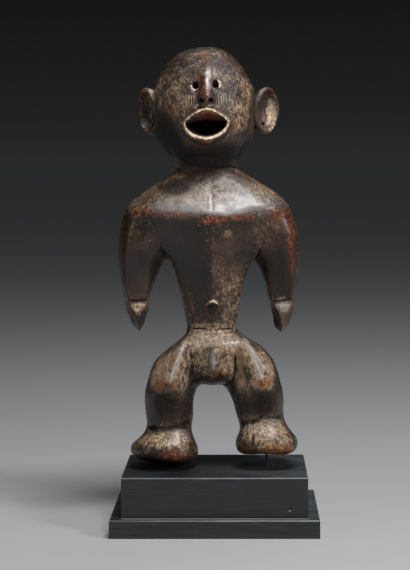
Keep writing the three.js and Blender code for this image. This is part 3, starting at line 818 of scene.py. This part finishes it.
# %% [markdown]
# A grey painted sheen lies on the planes that catch the light, with painted highlights on the forehead, the
# nose, the knob, the right hand and the feet. Handling has polished the same places and the ridges of the
# thighs: they are glossier, and their painted highlight is whiter. The left side of the trunk and the arms are
# calm: dark, even and nearly without specks.

# %% Where sheen and highlights are painted, and where it is polished or calm
PAINTED_SHEEN = [
    ((8, -26, 222), (34, 13), 0.55),
    ((-22, -28, 215), (18, 7), 0.45),
    ((9, -30, 213), (14, 4), 0.8),
    ((1, -25, 127), (22, 5), 0.3),
    ((-1.5, -36, 113), (2.4, 7), 0.9),
    ((33, -18, 69), (14, 5), 0.4),
    ((46, -15, 149), (4.4, 3.6), 0.95),
    ((-24, -18, 63), (8, 5), 0.35),
    ((10, -24, 303), (14, 9), 0.08),
    ((-2.4, -38, 301), (1.9, 10), 1.0),
    ((32, -10, 300), (4, 14), 0.45),
]
POLISH_AND_HIGHLIGHT = [
    ((-2.5, -40, 299), (3.5, 13), 1.0),
    ((4, -28, 214), (42, 8), 0.5),
    ((-23, -29, 113), (3, 15), 1.0),
    ((26, -29, 112), (3, 13), 1.0),
    ((0, -32, 113), (4, 8), 0.8),
    ((-22, -24, 59), (4, 4), 0.5),
    ((44, -22, 62), (4, 4), 0.5),
    ((46, -18, 150), (4, 3), 0.8),
    ((12, -30, 300), (12, 14), 0.6),
    ((1, -25, 127), (24, 6), 0.6),
]
CALM = [
    ((-20, -24, 180), (22, 42), 1.0),
    ((-50, -18, 180), (14, 34), 0.7),
    ((-22, -20, 262), (14, 14), 0.6),
    ((44, -18, 175), (10, 24), 0.5),
]
print("hazy, polished and calm patches:", len(PAINTED_SHEEN), len(POLISH_AND_HIGHLIGHT), len(CALM))

# %% Paint the patches
PATCH_DEPTH = 11


def patched(points, patches):
    """The strongest of the patches at each point, each fading out round its middle."""
    total = np.zeros(len(points))
    for middle, (across, up), strength in patches:
        away = np.linalg.norm((points - middle) / (across, PATCH_DEPTH, up), axis=1)
        total = np.maximum(total, strength * rise(away, 1.5, 0.5))
    return total


patches = {"ochre": OCHRE, "red": RED, "shade_and_soot": SHADE_AND_SOOT, "painted_sheen": PAINTED_SHEEN, "polish_and_highlight": POLISH_AND_HIGHLIGHT, "calm": CALM}
masks = {name: patched(points, ovals) for name, ovals in patches.items()}
print("painted:", {name: float(values.mean().round(3)) for name, values in masks.items()})

# %% [markdown]
# The carved forms add to the masks. Dust and a painted top light make what faces up paler, and the wood is
# bare on every edge. Hollows, nicks, cracks and creases get painted shade, though less so in the few places
# listed below.

# %% Colour the edges and paint shade in the hollows
LESS_SHADED_PLACES = [
    ((-4, -38, 304), (14, 20, 14)),
    ((1, -34, 112), (9, 14, 14)),
    ((-4, -42, 262), (14, 12, 9)),
]

normals = skin.normals()
edges = np.clip(skin.bulge(6) / EDGE_BULGE, -1, 1)
# dust and a painted top light: what faces up gets paler ochre, except on the top of the head
upward_dust_and_light = rise(normals[:, 2], 0.25, 0.85) * rise(z, 300, 290)
masks["ochre"] = np.maximum(masks["ochre"], 0.3 * upward_dust_and_light) * (1 - 0.7 * knob)
worn_edges = np.clip(edges, 0, 1) * (1 - 0.8 * masks["calm"]) * (1 - knob)
masks["red"] = np.maximum(masks["red"], 0.45 * worn_edges)
# painted shade in the hollows, nicks, cracks and creases, weaker in the places listed above
hollows = np.clip(-edges, 0, 1) * (1 - 0.7 * inside(points, LESS_SHADED_PLACES))
masks["shade_and_soot"] = np.maximum.reduce([masks["shade_and_soot"], 0.9 * hollows, nicks, cracks, 0.5 * creases])
print("dark now covers", masks["shade_and_soot"].mean().round(3), "and red", masks["red"].mean().round(3))

# %% [markdown]
# Pale chalk fills the scars, and chalk with a painted highlight lies on the lit rims of the lips. A painted
# highlight also lies on the lit side of each round hole and in the ear bowls. The lips are the rim of an oval
# that is pointed at its ends: the two powers say how pointed its upper and its lower half are. The pale on
# them is broken in blotches and weaker towards the left, where the bare wood shows.

# %% Chalk the lips and paint the highlight on their rims
LIP_MIDDLE = (-4.2, 268.8)
LIP_SLANT = 0.035
LIP_WIDTHS = 15.3, 14.2
LIP_HEIGHTS = 9.9, 9.4
LIP_CURVES = 1.42, 1.87
LIP_RIMS = 0.16, 0.31
LIP_BACK = -32
PALE_LEFT = 0.66

upper = z > LIP_MIDDLE[1]
across = np.abs(x - LIP_MIDDLE[0]) / np.where(upper, *LIP_WIDTHS)
up = np.abs(z - LIP_MIDDLE[1] - LIP_SLANT * x) / np.where(upper, *LIP_HEIGHTS)
curve = np.where(upper, *LIP_CURVES)
from_rim = np.abs(across**curve + up**curve - 1)
lips = rise(from_rim, np.where(upper, *LIP_RIMS), 0.09) * (y < LIP_BACK) * rise(-normals[:, 1], 0.1, 0.4)
pale_share = rise(lumps(points, 4, 17), -0.35, 0.35) * rise(x, -20, -8)
chalk_and_highlight = lips * (PALE_LEFT + (1 - PALE_LEFT) * pale_share)
print("lip points:", int((lips > 0.5).sum()))

# %% Paint highlights on the eyes, the nostrils, the navel and the ears, and chalk the scars
LIT_CRESCENTS = [
    ((-11, 293.2), 2.9, 225),
    ((1.8, 293.9), 3.1, 10),
    ((-7.2, 282.6), 2.7, 260),
    ((-1.2, 282.6), 2.7, 280),
    ((-0.6, 148.4), 3.9, 95),
]
LIT_EAR_BOWLS = [((38.2, -4, 277), (3.8, 10), 0.9), ((-41, -4, 290), (2.5, 5), 0.6)]
HOLE_BACK = -12


def lit_crescent(points, middle, radius, turn):
    """A painted highlight: a thin pale rim on the lit side of a round hole, seen from the front. turn, in
    degrees, says where.
    """
    across, up = points[:, 0] - middle[0], points[:, 2] - middle[1]
    reach = np.hypot(across, up)
    angle = math.radians(turn)
    towards = (across * math.cos(angle) + up * math.sin(angle)) / np.maximum(reach, 0.1)
    rim = 0.85 * rise(np.abs(reach - radius), 0.9, 0.2)
    return rim * rise(towards, 0.3, 0.9) * (points[:, 1] < HOLE_BACK)


for middle, radius, turn in LIT_CRESCENTS:
    chalk_and_highlight = np.maximum(chalk_and_highlight, lit_crescent(points, middle, radius, turn))
chalk_and_highlight = np.maximum(chalk_and_highlight, 0.8 * scars)
# painted highlights in the ear bowls, where they face the light
masks["chalk_and_highlight"] = np.maximum(0.85 * chalk_and_highlight, patched(points, LIT_EAR_BOWLS))
masks["red"] = np.maximum(masks["red"], 0.85 * lips) * (1 - masks["chalk_and_highlight"])
print("cream covers", masks["chalk_and_highlight"].mean().round(4))

# %% [markdown]
# The ridges of the thighs get a painted highlight and polish along their length, and the calm side of the
# trunk ends sharply at its middle. All masks are then kept on the mesh as attributes, which travel with its
# points and which the material reads by their names.

# %% Keep the masks
RIDGES = [((-20, 0, 125), (-29.5, 0, 100)), ((24, 0, 121), (31.5, 0, 101)), ((20, 0, 126), (33, 0, 108))]


def keep_mask(mesh, name, values):
    """Keeps one number for each point under the mask's name."""
    mesh.attributes.new(name, "FLOAT", "POINT").data.foreach_set("value", values.astype(np.float32))


for start, end in RIDGES:
    away = beside(points, start, end)
    # a painted highlight along each thigh ridge, and polish under it
    masks["painted_sheen"] = np.maximum(masks["painted_sheen"], rise(away + unsteady, 2.2, 0.3))
    masks["polish_and_highlight"] = np.maximum(masks["polish_and_highlight"], rise(away, 3.0, 0.6))
masks["calm"] *= 1 - rise(x, -2.5, 0) * (np.abs(x) < 26)
for name, values in masks.items():
    keep_mask(figure.data, name, values)
print("kept:", ", ".join(masks))

# %% [markdown]
# ## A lighter mesh
#
# Even quads waste points on the plain back and belly, which need few. Decimate merges what is nearly flat
# first and so keeps the scars and the ridges. It comes after the painting, because it carries the masks
# along.

# %% Thin the mesh
MOST_TRIANGLES = 190000

thin = figure.modifiers.new("thin", "DECIMATE")
thin.ratio = MOST_TRIANGLES / (2 * len(figure.data.polygons))
settled(figure)
figure.data.shade_smooth()
print("thinned to", sum(len(p.vertices) - 2 for p in figure.data.polygons), "triangles")

# %% [markdown]
# ## The wood
#
# Up close no part of the figure has one colour. Over smoked and oiled wood lie crust, soot, a painted sheen,
# bare wood, chalk with painted highlights and painted shade, each thin and broken. A single brown with some
# noise would look like plastic. Here each layer has its own mask, and all masks are frayed by the same specks,
# so that the layers break along the same lines, as they do where hands and years took them off.

# %% Read the masks and make the noise
wood = Finish("carved_wood")
ochre = wood.painted("ochre")
red = wood.painted("red")
chalk_and_highlight = wood.painted("chalk_and_highlight")
shade_and_soot = wood.painted("shade_and_soot")
polish_and_highlight = wood.painted("polish_and_highlight")
calm = wood.painted("calm")
painted_sheen = wood.painted("painted_sheen")
lively = 1 - calm * 0.75
fine = wood.cloud((1.0, 1.0, 1.4), detail=5, roughness=0.8)
small = wood.cloud((2.8, 2.8, 4.4), detail=4, roughness=0.7)
broad = wood.cloud((15, 15, 24), detail=3)
sooty = wood.cloud((12, 12, 17), detail=4, shift=(3, 7, 1))
grain = wood.cloud((0.6, 0.6, 11), detail=2)
speck = (fine * 0.62 + small * 0.38 - 0.5) * 4.5 * lively
print("wood so far:", len(wood.tree.nodes), "nodes")

# %% Lay the colours over each other
SMOKED, OILED, GRAIN_TONE, CALM_TONE = tone("140d09"), tone("42291a"), tone("5c493a"), tone("201c1a")
CRUST_LOW, CRUST_HIGH = tone("46301d"), tone("e2c09a")
SOOT_TONE = tone("17181d")
SHEEN_TONE, SHINE_TONE = tone("94908d"), tone("c0bcba")
BARE_LOW, BARE_RED, BARE_AMBER = tone("2c130c"), tone("9c5232"), tone("cc8448")
PALE_LOW, PALE_HIGH = tone("b08c66"), tone("ecd8be")
SHADE_TONE = tone("080605")


def cover(mask, softness=0.3):
    """How much of the wood a mask covers, broken up by the specks."""
    return (mask + speck - 0.5).ramp(-softness, softness)


colour = wood.mixed((broad + speck * 0.3).ramp(0.3, 0.7), SMOKED, OILED)
colour = wood.mixed((grain * lively).ramp(0.46, 0.72) * 0.7, colour, GRAIN_TONE)
colour = wood.mixed(calm * 0.85, colour, CALM_TONE)
crust = wood.mixed((speck + ochre * 0.15).ramp(-0.5, 0.65), CRUST_LOW, CRUST_HIGH)
colour = wood.mixed(cover(ochre * 0.95, 0.5) * 0.85, colour, crust)
soot = (sooty + speck * 0.06).ramp(0.5, 0.62) * (1 - calm) * (1 - ochre * 0.45)
colour = wood.mixed(soot * 0.6, colour, SOOT_TONE)
# painted sheen: a grey film where the light falls, whiter as painted highlights where polished
sheen_colour = wood.mixed(polish_and_highlight, SHEEN_TONE, SHINE_TONE)
colour = wood.mixed(painted_sheen * (0.75 + speck * 0.25), colour, sheen_colour)
paler = wood.mixed(ochre, BARE_RED, BARE_AMBER)
bare = wood.mixed((fine + small * 0.4).ramp(0.6, 0.85), BARE_LOW, paler)
raw = cover(red * 0.94 - 0.16, 0.42)
colour = wood.mixed(raw * 0.9, colour, bare)
# the pale colour of the chalk and of the painted highlights on the lips, the holes and the ears
pale_colour = wood.mixed(fine.ramp(0.35, 0.6), PALE_LOW, PALE_HIGH)
colour = wood.mixed(cover(chalk_and_highlight * 1.2, 0.2), colour, pale_colour)
# painted shade and soot: the hollows, the jaw's underside and the mouth turn nearly black
shade = cover(shade_and_soot * 0.95)
colour = wood.mixed(shade * 0.92, colour, SHADE_TONE)
print("wood with its colours:", len(wood.tree.nodes), "nodes")

# %% [markdown]
# Grain, pores and crust are too fine for the mesh, so bumps give them their relief. Oil and handling make the
# wood glossy under a thin clear coat, which is strongest where it is polished and gone in the hollows and on
# the bare wood.

# %% Add the relief and the gloss
GRAIN_DEPTH = 0.06
PORE_DEPTH = 0.28
TOOL_DEPTH = 0.55
CRUST_DEPTH = 0.45

relief = wood.bump(grain, GRAIN_DEPTH)
relief = wood.bump(fine * lively * (1 - polish_and_highlight * 0.6), PORE_DEPTH, relief)
relief = wood.bump(small * lively, TOOL_DEPTH, relief)
relief = wood.bump(speck.ramp(-0.9, 0.2) * ochre, CRUST_DEPTH, relief)
roughness = 0.34 + cover(ochre) * 0.1 + (fine - 0.5) * 0.4 + shade * 0.35 + painted_sheen * 0.08 - polish_and_highlight * 0.12
wood.set(
    Base_Color=colour,
    Roughness=roughness,
    Normal=relief,
    Coat_Weight=(0.26 + polish_and_highlight * 0.55) * (1 - shade) * (1 - raw * 0.5),
    Coat_Roughness=0.26,
    Specular_IOR_Level=0.36,
)
print("wood complete:", len(wood.tree.nodes), "nodes")

# %% [markdown]
# The carved skin now stands for the solid: the solid is hidden and stays for collisions, and the skin moves
# with the same body.

# %% Put the carved figure in the solid's place
dressed(figure, wood)
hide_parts("figure")
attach(figure, "root")
print(figure.name, "replaces the solid")

# %% [markdown]
# ## The plinth and the pin
#
# The plinth is two boards of black stained wood with a satin varnish, and the pin is plain steel. Their CAD
# solids already have the right shapes, so they stay and only get a finish. Both boards share one: grain that
# runs across the front, dust on top with a painted reflection that grows towards the right, and a painted
# highlight along the top front edge. It could be copied for each board, but a function keeps the two alike.

# %% The stained wood of the boards
STAIN_LOW, STAIN_HIGH = tone("131518"), tone("282b2f")
DUST_AND_REFLECTION_TONE = tone("55595c")
EDGE_HIGHLIGHT_TONE = tone("8d8f90")


def black_wood(name, low, high):
    """Black stained wood: grain across the front, dust and a painted reflection on top, a painted highlight on
    the top front edge.
    """
    finish = Finish(name)
    streaks = finish.cloud((22, 0.8, 0.8), detail=4, roughness=0.6)
    smudges = finish.cloud((30, 20, 12), detail=3)
    colour = finish.mixed(streaks.ramp(0.3, 0.75), STAIN_LOW, STAIN_HIGH)
    x, y, z = finish.split(finish.place)
    from_top = (high[2] - z) / MM
    from_front = (y - low[1]) / MM
    # dust on top, and a painted reflection that grows towards the right
    dust_and_reflection = from_top.ramp(0.4, 0.15) * (0.15 + (x / MM).ramp(-20, 60) * 0.55) * smudges.ramp(0.2, 0.6)
    colour = finish.mixed(dust_and_reflection, colour, DUST_AND_REFLECTION_TONE)
    # a painted highlight along the top front edge, broken by the grain
    edge = from_top.ramp(1.0, 0.2) * from_front.ramp(1.0, 0.2)
    paler = edge * (streaks + smudges * 0.5).ramp(0.5, 0.95)
    colour = finish.mixed(paler * 0.6, colour, EDGE_HIGHLIGHT_TONE)
    return finish, colour, streaks, smudges, (x, y, z)


def satin(finish, colour, streaks, smudges):
    """Sets a board's shader: its colour, the gloss of a satin varnish and the relief of the grain."""
    finish.set(
        Base_Color=colour,
        Roughness=0.26 + streaks * 0.16 + smudges * 0.1,
        Normal=finish.bump(streaks, 0.05),
        Coat_Weight=0.2,
        Coat_Roughness=0.2,
    )
    return finish


block_low, block_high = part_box("plinth_block")
slab_low, slab_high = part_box("plinth_slab")
print("block", round((block_high[2] - block_low[2]) / MM, 1), "mm high")
print("slab", round((slab_high[2] - slab_low[2]) / MM, 1), "mm high")

# %% [markdown]
# The block's front shows a nail hole at its right end, with a light dot under its middle. The dot is smaller
# than any form worth carving, so it is a spot in the colour.

# %% Finish the block
NAIL_HOLE = Vector((49, 0, 18.2)) * MM
DOT_DROP = 1.3
DOT_TONE = tone("b5b3ab")

block_wood, colour, streaks, smudges, (x, y, z) = black_wood("block_wood", block_low, block_high)
beside_dot = ((x - NAIL_HOLE.x) / MM).size() + ((z - NAIL_HOLE.z) / MM + DOT_DROP).size()
colour = block_wood.mixed(beside_dot.ramp(0.8, 0.3), colour, DOT_TONE)
dressed(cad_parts["plinth_block"], satin(block_wood, colour, streaks, smudges))
print("block wood:", len(block_wood.tree.nodes), "nodes")

# %% [markdown]
# The slab is the same wood. Along the foot of the block it has a thin pale strip, a painted reflection.

# %% Finish the slab
REFLECTION_STRIP_TONE = tone("8b857a")

slab_wood, colour, streaks, smudges, (x, y, z) = black_wood("slab_wood", slab_low, slab_high)
before_block = (block_low[1] - y) / MM
beside_block = ((x - (block_low[0] + block_high[0]) / 2).size() - (block_high[0] - block_low[0]) / 2) / MM
# painted reflection: a pale strip on the slab's top along the foot of the block
reflection_strip = before_block.ramp(-0.5, 0) * before_block.ramp(4, 2.5) * beside_block.ramp(0.5, -0.5)
colour = slab_wood.mixed(reflection_strip * 0.8, colour, REFLECTION_STRIP_TONE)
dressed(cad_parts["plinth_slab"], satin(slab_wood, colour, streaks, smudges))
print("slab wood:", len(slab_wood.tree.nodes), "nodes")

# %% [markdown]
# The pin is dull steel. Its gloss varies a little along it, as on a drawn rod that has been handled.

# %% Finish the pin
STEEL_TONE = tone("4a4a4a")

steel = Finish("pin_steel")
steel.set(Base_Color=STEEL_TONE, Metallic=1.0, Roughness=0.3 + steel.cloud((1, 1, 1)) * 0.15)
dressed(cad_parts["support_pin"], steel)
print("steel:", len(steel.tree.nodes), "nodes")

# %% [markdown]
# ## The sizes, and the end
# The dressed model must be as big as the CAD model.
